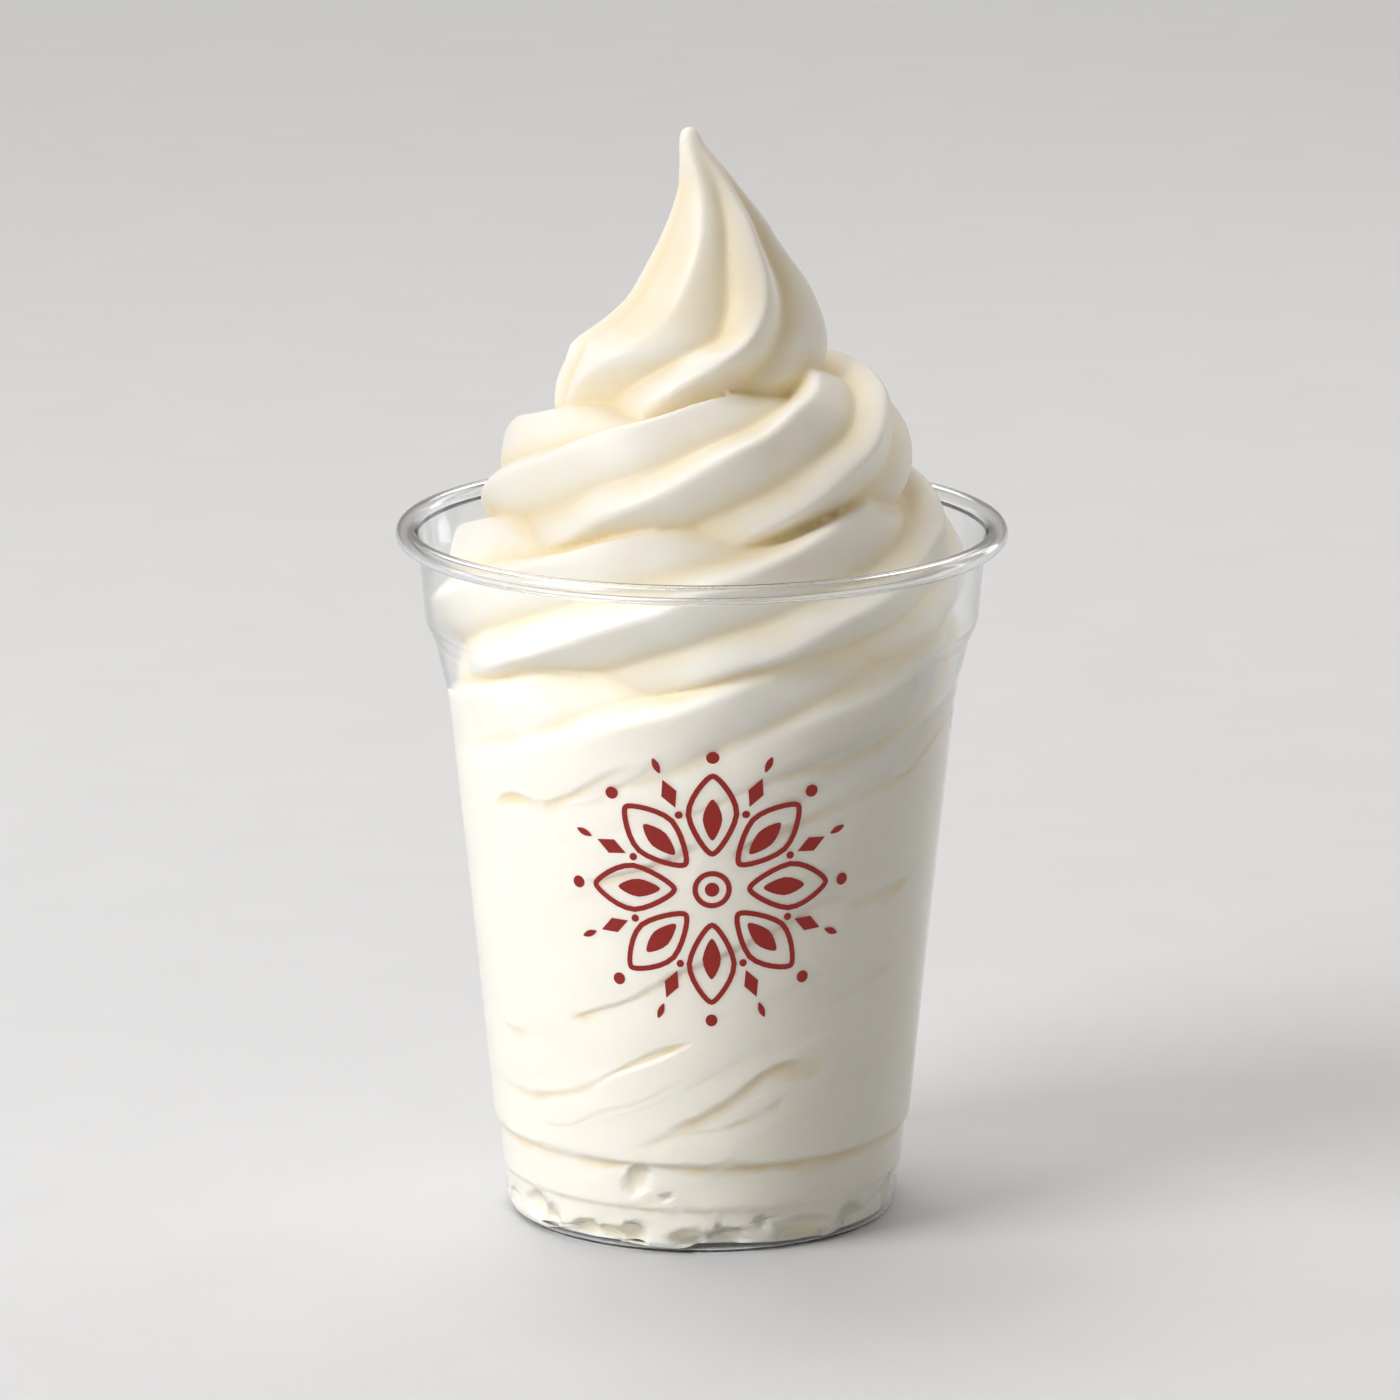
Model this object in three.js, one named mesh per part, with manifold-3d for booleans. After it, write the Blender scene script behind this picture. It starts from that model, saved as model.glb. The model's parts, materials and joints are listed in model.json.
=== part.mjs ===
// A clear plastic cup filled with piped soft serve ice cream.
// Millimetres, +Z up, the origin in the middle of the ring that the cup stands on.
// The front is towards -Y. Turns of the ice cream are counted anticlockwise seen from above,
// and whole turns are at the front.
import * as THREE from 'three';
import { mergeVertices } from 'three/addons/utils/BufferGeometryUtils.js';
import Module from 'manifold-3d';

const wasm = await Module();
wasm.setup();

// The cup
const cupHeight = 113;
const rimRadius = 49;
const wallThickness = 0.6;
const cupSides = 48;
const footRadius = 30.4;
const baseRecess = 1.6;

// The rope of ice cream: soft ridges along it, laid in turns from the bottom to the tip.
// The ridges' depth is a share of the rope's radius, and their bearing is that of the nozzle.
const ridges = 6;
const ridgeDepth = 0.13;
const ridgeSharpness = 0.97;
const ridgeBearing = THREE.MathUtils.degToRad(-106);
const firstTurn = -6.4;
const turnRise = 18.4;
const ropeInset = 12.2;

// How the rope is pressed: the gap left to the wall, and how softly it gives way
const wallGap = 0.3;
const pressSoftness = 1.5;

// Below packedHeight the turns are packed against the wall, and this share of a shallow
// hollow's depth is left. From freeHeight up all of it is. Deep inside little moves.
const packedShare = 0.15;
const packedHeight = 72;
const freeHeight = 98;
const packedDepth = 18;

// On the inside of a bend the ridges crowd together, but stay short of the bend's centre
const crowdStart = 0.5;
const crowdRoom = 0.4;

// Facets of the rope. Each length ends in a ring drawn in to this share, inside the next.
const pointsPerRidge = 4;
const knotsPerTurn = 12;
const ringsPerKnot = 2;
const ringsPerPiece = 6;
const tuckedShare = 0.8;

// The filled middle that the turns lie round
const coreSides = 24;
const coreStep = 9;
const coreOverlap = 2.5;
const coreTop = 137;
const coreTopRadius = 9;

// Above the cup the turns draw in: turn, distance from the axis, height, rope radius
const freeTurns = [
  [-2, 28.4, 87, 13.2],
  [-1.5, 28.2, 96.5, 13.2],
  [-1.25, 29, 101, 13],
  [-1, 28.8, 105, 12.8],
  [-0.75, 28.2, 107.5, 12.6],
  [-0.5, 26, 112.5, 12.7],
  [-0.25, 21.3, 118.2, 12.7],
  [0, 21.5, 122.5, 12.6],
  [0.25, 19.5, 126, 12.4],
  [0.5, 14.5, 128.5, 12],
  [0.75, 8.5, 129.5, 11],
  [0.9, 6, 130.5, 10],
];

// The last turn is drawn up into a leaning peak. Level sections of it: height, middle x and y,
// reach of its crests, how much deeper its valleys lie as a share of that, and how far its
// ridges are wound round it in degrees.
const peak = [
  [124, -4.5, -1.5, 14, 0.1, -57],
  [130, -4.5, -1.5, 18.5, 0.12, -56],
  [134, -3.5, -1.5, 20, 0.13, -52],
  [138, -2, -1.3, 20.9, 0.15, -42],
  [141.3, -0.95, -1, 20.9, 0.18, -27],
  [143, -0.4, -0.8, 20.4, 0.18, -21],
  [146, 1.45, -0.5, 17.8, 0.19, -12],
  [149.3, 2.75, -0.3, 15.1, 0.2, -5],
  [152.6, 3.05, 0, 13.2, 0.21, 0],
  [155.8, 3, 0, 11.3, 0.22, 4],
  [159, 2.8, 0, 9.5, 0.22, 8],
  [162.3, 2.45, 0, 7.9, 0.22, 11],
  [167.1, 1.2, 0, 5.2, 0.21, 16],
  [170.4, 0, 0, 3.6, 0.18, 19],
  [173.6, -1.35, 0, 2.2, 0.12, 22],
  [175.9, -1.9, 0, 1.4, 0.05, 24],
  [176.6, -1.9, 0, 0.6, 0, 24],
];
const peakDepth = 0.9;
const peakCrest = THREE.MathUtils.degToRad(-27);
const peakWinding = THREE.MathUtils.degToRad(15);
const peakSteps = 44;
const pointsPerPeakRidge = 6;

// Outside of the wall: height and radius, from the foot to just under the rim
const wall = [
  [2.1, 31.66],
  [5.5, 31.8],
  [7.2, 32.1],
  [14, 32.9],
  [15.7, 33.6],
  [17.4, 33.94],
  [50, 37.1],
  [84.2, 40.64],
  [87.5, 41.2],
  [91, 42.1],
  [94.2, 42.8],
  [97.5, 44.3],
  [108, 45.2],
];

// Closed meshes to solids, and back
function toSolid(geometry) {
  geometry.deleteAttribute('normal');
  geometry.deleteAttribute('uv');
  const merged = mergeVertices(geometry);
  return new wasm.Manifold(new wasm.Mesh({
    numProp: 3,
    vertProperties: new Float32Array(merged.attributes.position.array),
    triVerts: new Uint32Array(merged.index.array),
  }));
}

function toGeometry(solid) {
  const { vertProperties, triVerts } = solid.getMesh();
  const geometry = new THREE.BufferGeometry();
  geometry.setAttribute('position', new THREE.BufferAttribute(vertProperties, 3));
  geometry.setIndex(new THREE.BufferAttribute(triVerts, 1));
  geometry.computeVertexNormals();
  return geometry;
}

// A value from a table of rows, with an even bend through them
function fromRows(rows, key, at, column) {
  const last = rows.length - 1;
  let i = 0;
  while (i < last - 1 && rows[i + 1][key] < at) i += 1;
  const slope = (j) => {
    const a = rows[Math.max(j - 1, 0)];
    const b = rows[Math.min(j + 1, last)];
    return (b[column] - a[column]) / (b[key] - a[key]);
  };
  const width = rows[i + 1][key] - rows[i][key];
  const s = (at - rows[i][key]) / width;
  const from = rows[i][column];
  const to = rows[i + 1][column];
  const rise = s * s * (3 - 2 * s);
  return from + (to - from) * rise
    + width * (slope(i) * s * (1 - s) ** 2 - slope(i + 1) * s * s * (1 - s));
}

// Radius of the inside of the wall at a height
function insideRadius(height) {
  const z = THREE.MathUtils.clamp(height, wall[0][0], cupHeight);
  let i = 0;
  while (i < wall.length - 2 && wall[i + 1][0] < z) i += 1;
  const [z0, r0] = wall[i];
  const [z1, r1] = wall[i + 1];
  return r0 + (r1 - r0) * (z - z0) / (z1 - z0) - wallThickness;
}

// A solid turned round the axis from heights and radii, with flat ends
function turned(rows, sides) {
  const outline = rows.map(([z, r]) => new THREE.Vector2(r, z));
  outline.unshift(new THREE.Vector2(0, rows[0][0]));
  outline.push(new THREE.Vector2(0, rows.at(-1)[0]));
  return new THREE.LatheGeometry(outline, sides).rotateX(Math.PI / 2);
}

// Cup: one wall, turned round the axis, with a rolled rim and a raised middle of the base
function makeCup() {
  const floor = baseRecess + wallThickness;
  const inside = wall.map(([z, r]) => [z, r - wallThickness]);
  return toGeometry(toSolid(turned([
    [baseRecess, footRadius - 4],
    [0, footRadius - 2.2],
    [0, footRadius],
    [0.6, 31.3],
    ...wall,
    [109.6, 46.4],
    [109.8, 47.9],
    [110.6, rimRadius],
    [111.9, rimRadius],
    [cupHeight, 48.2],
    [cupHeight, 46.6],
    [112, 45.6],
    [109.8, 45.1],
    ...inside.reverse(),
    [floor, footRadius],
  ], cupSides)));
}

// The rope's middle line as a smooth curve, with the rope's radius at each of its points
function ropeLine() {
  const points = [];
  const radii = [];
  const last = freeTurns.at(-1)[0];
  const knots = Math.round((last - firstTurn) * knotsPerTurn);
  for (let i = 0; i <= knots; i += 1) {
    const turn = firstTurn + (last - firstTurn) * i / knots;
    let [, away, height, radius] = freeTurns[0];
    if (turn < freeTurns[0][0]) {
      height += turnRise * (turn - freeTurns[0][0]);
      away = insideRadius(height) - ropeInset;
    } else {
      [away, height, radius] = [1, 2, 3].map((column) => fromRows(freeTurns, 0, turn, column));
    }
    const angle = turn * 2 * Math.PI;
    points.push(new THREE.Vector3(away * Math.sin(angle), -away * Math.cos(angle), height));
    radii.push(radius);
  }
  return { curve: new THREE.CatmullRomCurve3(points, false, 'centripetal'), radii };
}

// Rings along the rope. Each knows its middle, its radius, the way it bends and its two axes.
// The ridges keep their compass bearing while the rope is upright, as it leaves the nozzle,
// so its axes are X and Y after the smallest turn that takes +Z to the rope's direction.
function ropeRings() {
  const { curve, radii } = ropeLine();
  const count = ringsPerKnot * (radii.length - 1);
  const up = new THREE.Vector3(0, 0, 1);
  const rings = [];
  for (let i = 0; i <= count; i += 1) {
    const u = i / count;
    const at = i / ringsPerKnot;
    const k = Math.min(Math.floor(at), radii.length - 2);
    const along = curve.getTangent(u);
    const lean = new THREE.Quaternion().setFromUnitVectors(up, along);
    rings.push({
      middle: curve.getPoint(u),
      radius: THREE.MathUtils.lerp(radii[k], radii[k + 1], at - k),
      along,
      across: new THREE.Vector3(1, 0, 0).applyQuaternion(lean),
      over: new THREE.Vector3(0, 1, 0).applyQuaternion(lean),
    });
  }
  rings.forEach((ring, i) => {
    const ahead = rings[Math.min(i + 2, count)];
    const behind = rings[Math.max(i - 2, 0)];
    const apart = ahead.middle.distanceTo(behind.middle);
    ring.bend = ahead.along.clone().sub(behind.along).divideScalar(apart);
  });
  return rings;
}

// Radius of a point once the turns are packed towards the wall
function packedRadius(reach, height) {
  const hollow = Math.max(insideRadius(height) - wallGap - reach, 0);
  const loose = THREE.MathUtils.smoothstep(height, packedHeight, freeHeight);
  const closed = (1 - packedShare) * (1 - loose) * Math.exp(-((hollow / packedDepth) ** 2));
  return reach + hollow * closed;
}

// The ice cream is packed in the cup, and pressed flat where it meets the wall and the base
function pressIn(point) {
  const reach = Math.hypot(point.x, point.y);
  const limit = point.z > cupHeight ? Infinity : insideRadius(point.z) - wallGap;
  let held = packedRadius(reach, point.z);
  const blend = THREE.MathUtils.clamp(0.5 + (limit - held) / (2 * pressSoftness), 0, 1);
  if (blend < 1) {
    held = limit * (1 - blend) + held * blend - pressSoftness * blend * (1 - blend);
  }
  point.x *= held / reach;
  point.y *= held / reach;
  point.z = Math.max(point.z, baseRecess + wallThickness + wallGap);
}

// From 1 on the crest of a ridge to -1 in the valley between two, at an angle round them
function ridgeWave(angle) {
  return Math.asin(ridgeSharpness * Math.cos(ridges * angle)) / Math.asin(ridgeSharpness);
}

// A point on the rope's skin at an angle round one of its rings
function ropeSkin(ring, angle, share) {
  const radius = share * ring.radius * (1 + ridgeDepth * ridgeWave(angle));
  const point = new THREE.Vector3();
  point.addScaledVector(ring.across, radius * Math.cos(angle + ridgeBearing));
  point.addScaledVector(ring.over, radius * Math.sin(angle + ridgeBearing));
  const inward = point.dot(ring.bend);
  if (inward > crowdStart) {
    const kept = crowdStart + crowdRoom * Math.tanh((inward - crowdStart) / crowdRoom);
    point.addScaledVector(ring.bend, (kept - inward) / ring.bend.lengthSq());
  }
  point.add(ring.middle);
  pressIn(point);
  return point;
}

// One length of rope: a cylinder whose rings are moved to the rope's
function ropePiece(rings, isLast) {
  const steps = rings.length - 1;
  const geometry = new THREE.CylinderGeometry(1, 1, 1, ridges * pointsPerRidge, steps);
  const place = geometry.attributes.position;
  for (let i = 0; i < place.count; i += 1) {
    const [x, y, z] = [place.getX(i), place.getY(i), place.getZ(i)];
    const ring = rings[Math.round((y + 0.5) * steps)];
    const point = ropeSkin(ring, Math.atan2(x, z), Math.hypot(x, z));
    if (ring === rings[steps] && !isLast) point.lerp(ring.middle, 1 - tuckedShare);
    place.setXYZ(i, point.x, point.y, point.z);
  }
  return toSolid(geometry);
}

// The middle reaches out to where the turns are closest to the axis
function makeCore(rings) {
  const floor = baseRecess + wallThickness + wallGap;
  const rows = [[floor, insideRadius(floor) - turnRise / 2]];
  for (let z = turnRise; z < coreTop - coreStep; z += coreStep) {
    const near = rings.filter((ring) => Math.abs(ring.middle.z - z) < turnRise / 2);
    const away = near.map((ring) => Math.hypot(ring.middle.x, ring.middle.y));
    rows.push([z, packedRadius(Math.min(...away) + coreOverlap, z)]);
  }
  rows.push([coreTop, coreTopRadius]);
  return toSolid(turned(rows, coreSides));
}

// The peak: a cylinder whose level rings are moved to its sections. Its ridges wind most in
// front, where they sweep down to the left, and least behind.
function makePeak() {
  const around = ridges * pointsPerPeakRidge;
  const geometry = new THREE.CylinderGeometry(1, 1, 1, around, peakSteps);
  const place = geometry.attributes.position;
  for (let i = 0; i < place.count; i += 1) {
    const [x, y, z] = [place.getX(i), place.getY(i), place.getZ(i)];
    const height = THREE.MathUtils.lerp(peak[0][0], peak.at(-1)[0], y + 0.5);
    const [middleX, middleY, reach, deeper, wound] = [1, 2, 3, 4, 5].map(
      (column) => fromRows(peak, 0, height, column),
    );
    const angle = Math.atan2(x, z);
    const valley = (1 - ridgeWave(angle)) / 2;
    const away = Math.hypot(x, z) * reach * (1 - deeper * valley);
    const start = angle + peakCrest;
    const winding = THREE.MathUtils.degToRad(wound) * Math.cos(start - peakWinding);
    const bearing = start + winding;
    place.setXYZ(
      i,
      middleX + away * Math.sin(bearing),
      middleY - away * peakDepth * Math.cos(bearing),
      height,
    );
  }
  return toSolid(geometry);
}

function makeSoftServe() {
  const rings = ropeRings();
  let solid = makeCore(rings).add(makePeak());
  for (let i = 0; i < rings.length - 1; i += ringsPerPiece) {
    const piece = rings.slice(i, i + ringsPerPiece + 2);
    solid = solid.add(ropePiece(piece, i + piece.length >= rings.length));
  }
  // The outer skin alone is kept, so that no pocket is left between the turns
  const skins = solid.decompose().sort((a, b) => b.volume() - a.volume());
  return toGeometry(skins[0]);
}

const clearPlastic = new THREE.MeshStandardMaterial({
  color: 0xe9eef0,
  roughness: 0.08,
  metalness: 0,
  transparent: true,
  opacity: 0.3,
});
const iceCream = new THREE.MeshStandardMaterial({ color: 0xf8efdc, roughness: 0.45, metalness: 0 });

const cup = new THREE.Mesh(makeCup(), clearPlastic);
cup.name = 'cup';
const softServe = new THREE.Mesh(makeSoftServe(), iceCream);
softServe.name = 'soft_serve';

const iceCreamCup = new THREE.Group();
iceCreamCup.add(cup, softServe);

export default iceCreamCup;
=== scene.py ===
import json
import math

import bpy
import numpy as np
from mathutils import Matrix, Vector, noise

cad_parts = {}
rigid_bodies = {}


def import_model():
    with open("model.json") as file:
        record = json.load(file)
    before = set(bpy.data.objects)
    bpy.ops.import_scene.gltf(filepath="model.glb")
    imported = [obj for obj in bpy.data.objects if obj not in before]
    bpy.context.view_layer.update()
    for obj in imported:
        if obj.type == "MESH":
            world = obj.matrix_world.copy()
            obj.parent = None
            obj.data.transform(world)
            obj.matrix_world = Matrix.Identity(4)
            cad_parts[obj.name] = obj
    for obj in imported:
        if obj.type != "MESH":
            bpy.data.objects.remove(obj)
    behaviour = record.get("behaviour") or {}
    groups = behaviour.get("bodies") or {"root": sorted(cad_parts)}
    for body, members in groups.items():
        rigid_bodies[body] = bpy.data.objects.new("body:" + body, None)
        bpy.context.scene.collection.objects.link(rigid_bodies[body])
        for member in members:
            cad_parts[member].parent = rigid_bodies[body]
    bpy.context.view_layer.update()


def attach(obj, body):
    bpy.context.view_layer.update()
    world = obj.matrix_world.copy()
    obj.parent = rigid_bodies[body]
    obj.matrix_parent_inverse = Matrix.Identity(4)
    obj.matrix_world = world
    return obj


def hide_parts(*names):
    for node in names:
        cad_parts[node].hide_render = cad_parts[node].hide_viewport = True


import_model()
bpy.ops.object.select_all(action="DESELECT")  # the loaded nodes come in selected
mm = 0.001


# Camera and room: the photograph's viewing angle, on a pale floor, in soft light

cameraSet = {"distance": 1420, "elevation": 13.45, "sideways": -0.3, "aimHeight": 83.48,
             "lens": 227.16, "sensor": 36}


def makeCamera():
    aim = Vector((cameraSet["sideways"], 0, cameraSet["aimHeight"])) * mm
    tilt = math.radians(cameraSet["elevation"])
    away = Vector((0, -math.cos(tilt), math.sin(tilt))) * cameraSet["distance"] * mm
    bpy.ops.object.camera_add(location=aim + away, rotation=(math.pi / 2 - tilt, 0, 0))
    camera = bpy.context.object
    camera.name = "camera"
    camera.data.lens = cameraSet["lens"]
    camera.data.sensor_width = cameraSet["sensor"]
    camera.data.clip_end = 30
    bpy.context.scene.camera = camera


# Lamps: place in metres, width, height, watts, colour
room = {
    "aim": (0, 0, 0.09),
    "lamps": {
        "keyLamp": ((-1.0, -0.62, 0.98), 0.7, 0.7, 12.9, (1, 0.995, 1)),
        "topLamp": ((-0.3, 0.4, 1.2), 0.6, 0.5, 4, (1, 1, 1)),
        "fillLamp": ((1.1, -0.9, 0.5), 0.4, 1.0, 0.7, (1, 0.95, 0.87)),
        "lowLamp": ((-0.7, -1.2, 0.12), 0.7, 0.3, 1.5, (1, 0.92, 0.8)),
        "rearLamp": ((0.75, 0.8, 0.45), 0.25, 0.9, 1.5, (1, 0.98, 0.96)),
        "stripLamp": ((0.95, 0.35, 0.3), 0.06, 0.7, 0.5, (1, 0.98, 0.96)),
    },
    # lights only the floor behind
    "floorLamp": ((0, 2.6, 1.7), 2.2, 1.6, 22, (1, 1, 1)),
    "sky": (1, 0.925, 0.82), "skyStrength": 0.3,
    "floorSize": 10, "floorColour": (0.73, 0.742, 0.765),
}


def newMaterial(name):
    material = bpy.data.materials.new(name)
    material.use_nodes = True
    tree = material.node_tree
    shader = tree.nodes["Principled BSDF"]
    return material, tree, shader


def addNode(tree, kind, **settings):
    node = tree.nodes.new("ShaderNode" + kind)
    for key, value in settings.items():
        if key in node.inputs:
            node.inputs[key].default_value = value
        else:
            setattr(node, key, value)
    return node


def makeRoom():
    lamps = dict(room["lamps"], floorLamp=room["floorLamp"])
    for name, (place, width, height, watts, colour) in lamps.items():
        turn = (Vector(room["aim"]) - Vector(place)).to_track_quat("-Z", "Y").to_euler()
        if name == "floorLamp":
            turn = (0, 0, 0)  # straight down
        bpy.ops.object.light_add(type="AREA", location=place, rotation=turn)
        lamp = bpy.context.object
        lamp.name = name
        lamp.data.shape = "RECTANGLE"
        lamp.data.size = width
        lamp.data.size_y = height
        lamp.data.energy = watts
        lamp.data.color = colour
    world = bpy.data.worlds.new("softSky")
    world.use_nodes = True
    sky = world.node_tree.nodes["Background"]
    sky.inputs["Color"].default_value = (*room["sky"], 1)
    sky.inputs["Strength"].default_value = room["skyStrength"]
    bpy.context.scene.world = world
    bpy.context.scene.view_settings.view_transform = "Standard"
    bpy.ops.mesh.primitive_plane_add(size=room["floorSize"])
    floor = bpy.context.object
    floor.name = "floor"
    material, tree, shader = newMaterial("paleFloor")
    place = addNode(tree, "TexCoord")
    speckle = addNode(tree, "TexNoise", Scale=40, Detail=4)
    tone = addNode(tree, "MixRGB", Color1=(*room["floorColour"], 1), Color2=(0.77, 0.782, 0.805, 1))
    tree.links.new(place.outputs["Object"], speckle.inputs["Vector"])
    tree.links.new(speckle.outputs["Fac"], tone.inputs["Fac"])
    tree.links.new(tone.outputs["Color"], shader.inputs["Base Color"])
    shader.inputs["Roughness"].default_value = 0.6
    floor.data.materials.append(material)


makeCamera()
makeRoom()
print("camera, lamps and floor placed")


# Shared ways of making a mesh

def applyModifier(piece, kind, **settings):
    modifier = piece.modifiers.new(kind.lower(), kind)
    for key, value in settings.items():
        setattr(modifier, key, value)
    bpy.ops.object.select_all(action="DESELECT")
    piece.select_set(True)
    bpy.context.view_layer.objects.active = piece
    bpy.ops.object.modifier_apply(modifier=modifier.name)


def points(piece):
    place = np.empty(len(piece.data.vertices) * 3)
    piece.data.vertices.foreach_get("co", place)
    return place.reshape(-1, 3)


def movePoints(piece, place):
    piece.data.vertices.foreach_set("co", place.ravel())
    piece.data.update()


# A line of radius and height, drawn from one vertex by extruding it, then spun round the axis
def spinLine(name, line, sides):
    bpy.ops.mesh.primitive_plane_add(size=mm)
    piece = bpy.context.object
    piece.name = name
    bpy.ops.object.mode_set(mode="EDIT")
    bpy.ops.mesh.merge(type="CENTER")
    line = [Vector((radius, 0, height)) * mm for radius, height in line]
    bpy.ops.transform.translate(value=line[0])
    for near, far in zip(line, line[1:]):
        bpy.ops.mesh.extrude_region_move(TRANSFORM_OT_translate={"value": far - near})
    bpy.ops.mesh.select_all(action="SELECT")
    bpy.ops.mesh.spin(steps=sides, angle=math.tau, center=(0, 0, 0), axis=(0, 0, 1))
    bpy.ops.mesh.select_all(action="SELECT")
    bpy.ops.mesh.remove_doubles(threshold=0.002 * mm)
    bpy.ops.mesh.normals_make_consistent(inside=False)
    bpy.ops.object.mode_set(mode="OBJECT")
    return piece


# The same line with its corners rounded off, each by up to the given radius
def rounded(line, radius, steps=2):
    line = [np.array(point, float) for point in line]
    result = [line[0]]
    for before, corner, after in zip(line, line[1:], line[2:]):
        reachBack = min(radius, np.linalg.norm(before - corner) * 0.45)
        reachOn = min(radius, np.linalg.norm(after - corner) * 0.45)
        start = corner + (before - corner) * reachBack / np.linalg.norm(before - corner)
        end = corner + (after - corner) * reachOn / np.linalg.norm(after - corner)
        for i in range(steps + 1):
            t = i / steps
            result.append(start * (1 - t) ** 2 + corner * 2 * t * (1 - t) + end * t ** 2)
    result.append(line[-1])
    return result


# Cup: one thin sheet of clear plastic, with a rim rolled outwards

cup = {
    "height": 113, "rimRadius": 49, "wall": 0.6, "rimRoll": 1.6, "rollSteps": 26, "sides": 600,
    "footRadius": 30.4, "baseRecess": 1.6, "cornerRadius": 0.5,
    # outside of the wall, height and radius: foot, two step rings, long taper, shoulder
    "outside": [(0.8, 31.4), (2.1, 31.66), (5.5, 31.8), (7.3, 32.02), (7.7, 32.4), (15, 33.05),
                (15.5, 33.75), (17.4, 33.94), (50, 37.1), (84.2, 40.64), (87.5, 41.2),
                (91, 42.1), (94.2, 42.8), (97.5, 44.3), (108, 45.2)],
    "colour": (0.975, 0.982, 0.99), "roughness": 0.05, "ior": 1.46,
}


def insideRadius(height):
    heights, radii = zip(*cup["outside"])
    return np.interp(height, heights, radii) - cup["wall"]


# Middle of the sheet: raised base, foot, wall, and once round the roll of the rim
def cupLine():
    half = cup["wall"] / 2
    line = [(0, cup["baseRecess"] + half), (cup["footRadius"] - 4, cup["baseRecess"] + half),
            (cup["footRadius"] - 2.2, half), (cup["footRadius"], half)]
    line += [(radius - half, height) for height, radius in cup["outside"]]
    roll = cup["rimRoll"] - half
    middle = (cup["rimRadius"] - cup["rimRoll"], cup["height"] - cup["rimRoll"])
    line = rounded(line, cup["cornerRadius"])
    for i in range(cup["rollSteps"] + 1):
        turn = math.radians(190 - 330 * i / cup["rollSteps"])
        line.append((middle[0] + roll * math.cos(turn), middle[1] + roll * math.sin(turn)))
    return line


# Lamps shine through it on to what lies behind
def shineThrough(tree, shader, colour):
    path = addNode(tree, "LightPath")
    through = addNode(tree, "BsdfTransparent", Color=(*colour, 1))
    mix = addNode(tree, "MixShader")
    tree.links.new(path.outputs["Is Shadow Ray"], mix.inputs[0])
    tree.links.new(shader.outputs[0], mix.inputs[1])
    tree.links.new(through.outputs[0], mix.inputs[2])
    tree.links.new(mix.outputs[0], tree.nodes["Material Output"].inputs["Surface"])


def clearPlastic():
    material, tree, shader = newMaterial("clearPlastic")
    place = addNode(tree, "TexCoord")
    # the slow waves of formed sheet, and a fine haze in its gloss
    stretch = addNode(tree, "Mapping", Scale=(1, 1, 0.35))
    wave = addNode(tree, "TexNoise", Scale=55, Detail=1)
    bump = addNode(tree, "Bump", Strength=0.04, Distance=0.0006)
    haze = addNode(tree, "TexNoise", Scale=260, Detail=3)
    gloss = addNode(tree, "MapRange")
    gloss.inputs["To Min"].default_value = cup["roughness"]
    gloss.inputs["To Max"].default_value = cup["roughness"] + 0.05
    tree.links.new(place.outputs["Object"], stretch.inputs["Vector"])
    tree.links.new(stretch.outputs["Vector"], wave.inputs["Vector"])
    tree.links.new(place.outputs["Object"], haze.inputs["Vector"])
    tree.links.new(wave.outputs["Fac"], bump.inputs["Height"])
    tree.links.new(haze.outputs["Fac"], gloss.inputs["Value"])
    tree.links.new(gloss.outputs["Result"], shader.inputs["Roughness"])
    tree.links.new(bump.outputs["Normal"], shader.inputs["Normal"])
    shader.inputs["Base Color"].default_value = (*cup["colour"], 1)
    shader.inputs["Transmission Weight"].default_value = 1
    shader.inputs["IOR"].default_value = cup["ior"]
    shineThrough(tree, shader, cup["colour"])
    return material


def makeCup():
    piece = spinLine("clearCup", cupLine(), cup["sides"])
    applyModifier(piece, "SOLIDIFY", thickness=cup["wall"] * mm, offset=0)
    piece.data.materials.append(clearPlastic())
    bpy.ops.object.shade_smooth_by_angle(angle=math.radians(40))
    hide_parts("cup")
    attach(piece, "root")
    return piece


clearCup = makeCup()
print("cup made")


# Print: a plain rosette of petals, drops and dots, in dark red on the front of the cup

rosette = {
    "bearing": 2.4, "height": 62, "petals": 8, "lift": 0.03, "ink": 0.06,
    "colour": (0.28, 0.014, 0.01), "colourThin": (0.34, 0.026, 0.02),
    # each shape: distance from the middle, half width, half height, corners, line width or 0
    "shapes": [
        ("petal", 12.4, 4.1, 6.9, 28, 0.85, 0), ("drop", 11.6, 1.5, 3.4, 20, 0, 0),
        ("lozenge", 17.2, 1.25, 2.5, 4, 0, 0.5), ("smallDot", 13.4, 0.62, 0.62, 14, 0, 0.5),
        ("outerDot", 21.9, 1.0, 1.0, 18, 0, 0), ("outerDrop", 22.1, 0.55, 1.35, 14, 0, 0.5),
    ],
    "middleRadius": 3.1, "middleLine": 0.85, "middleDot": 1.15,
}


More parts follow.
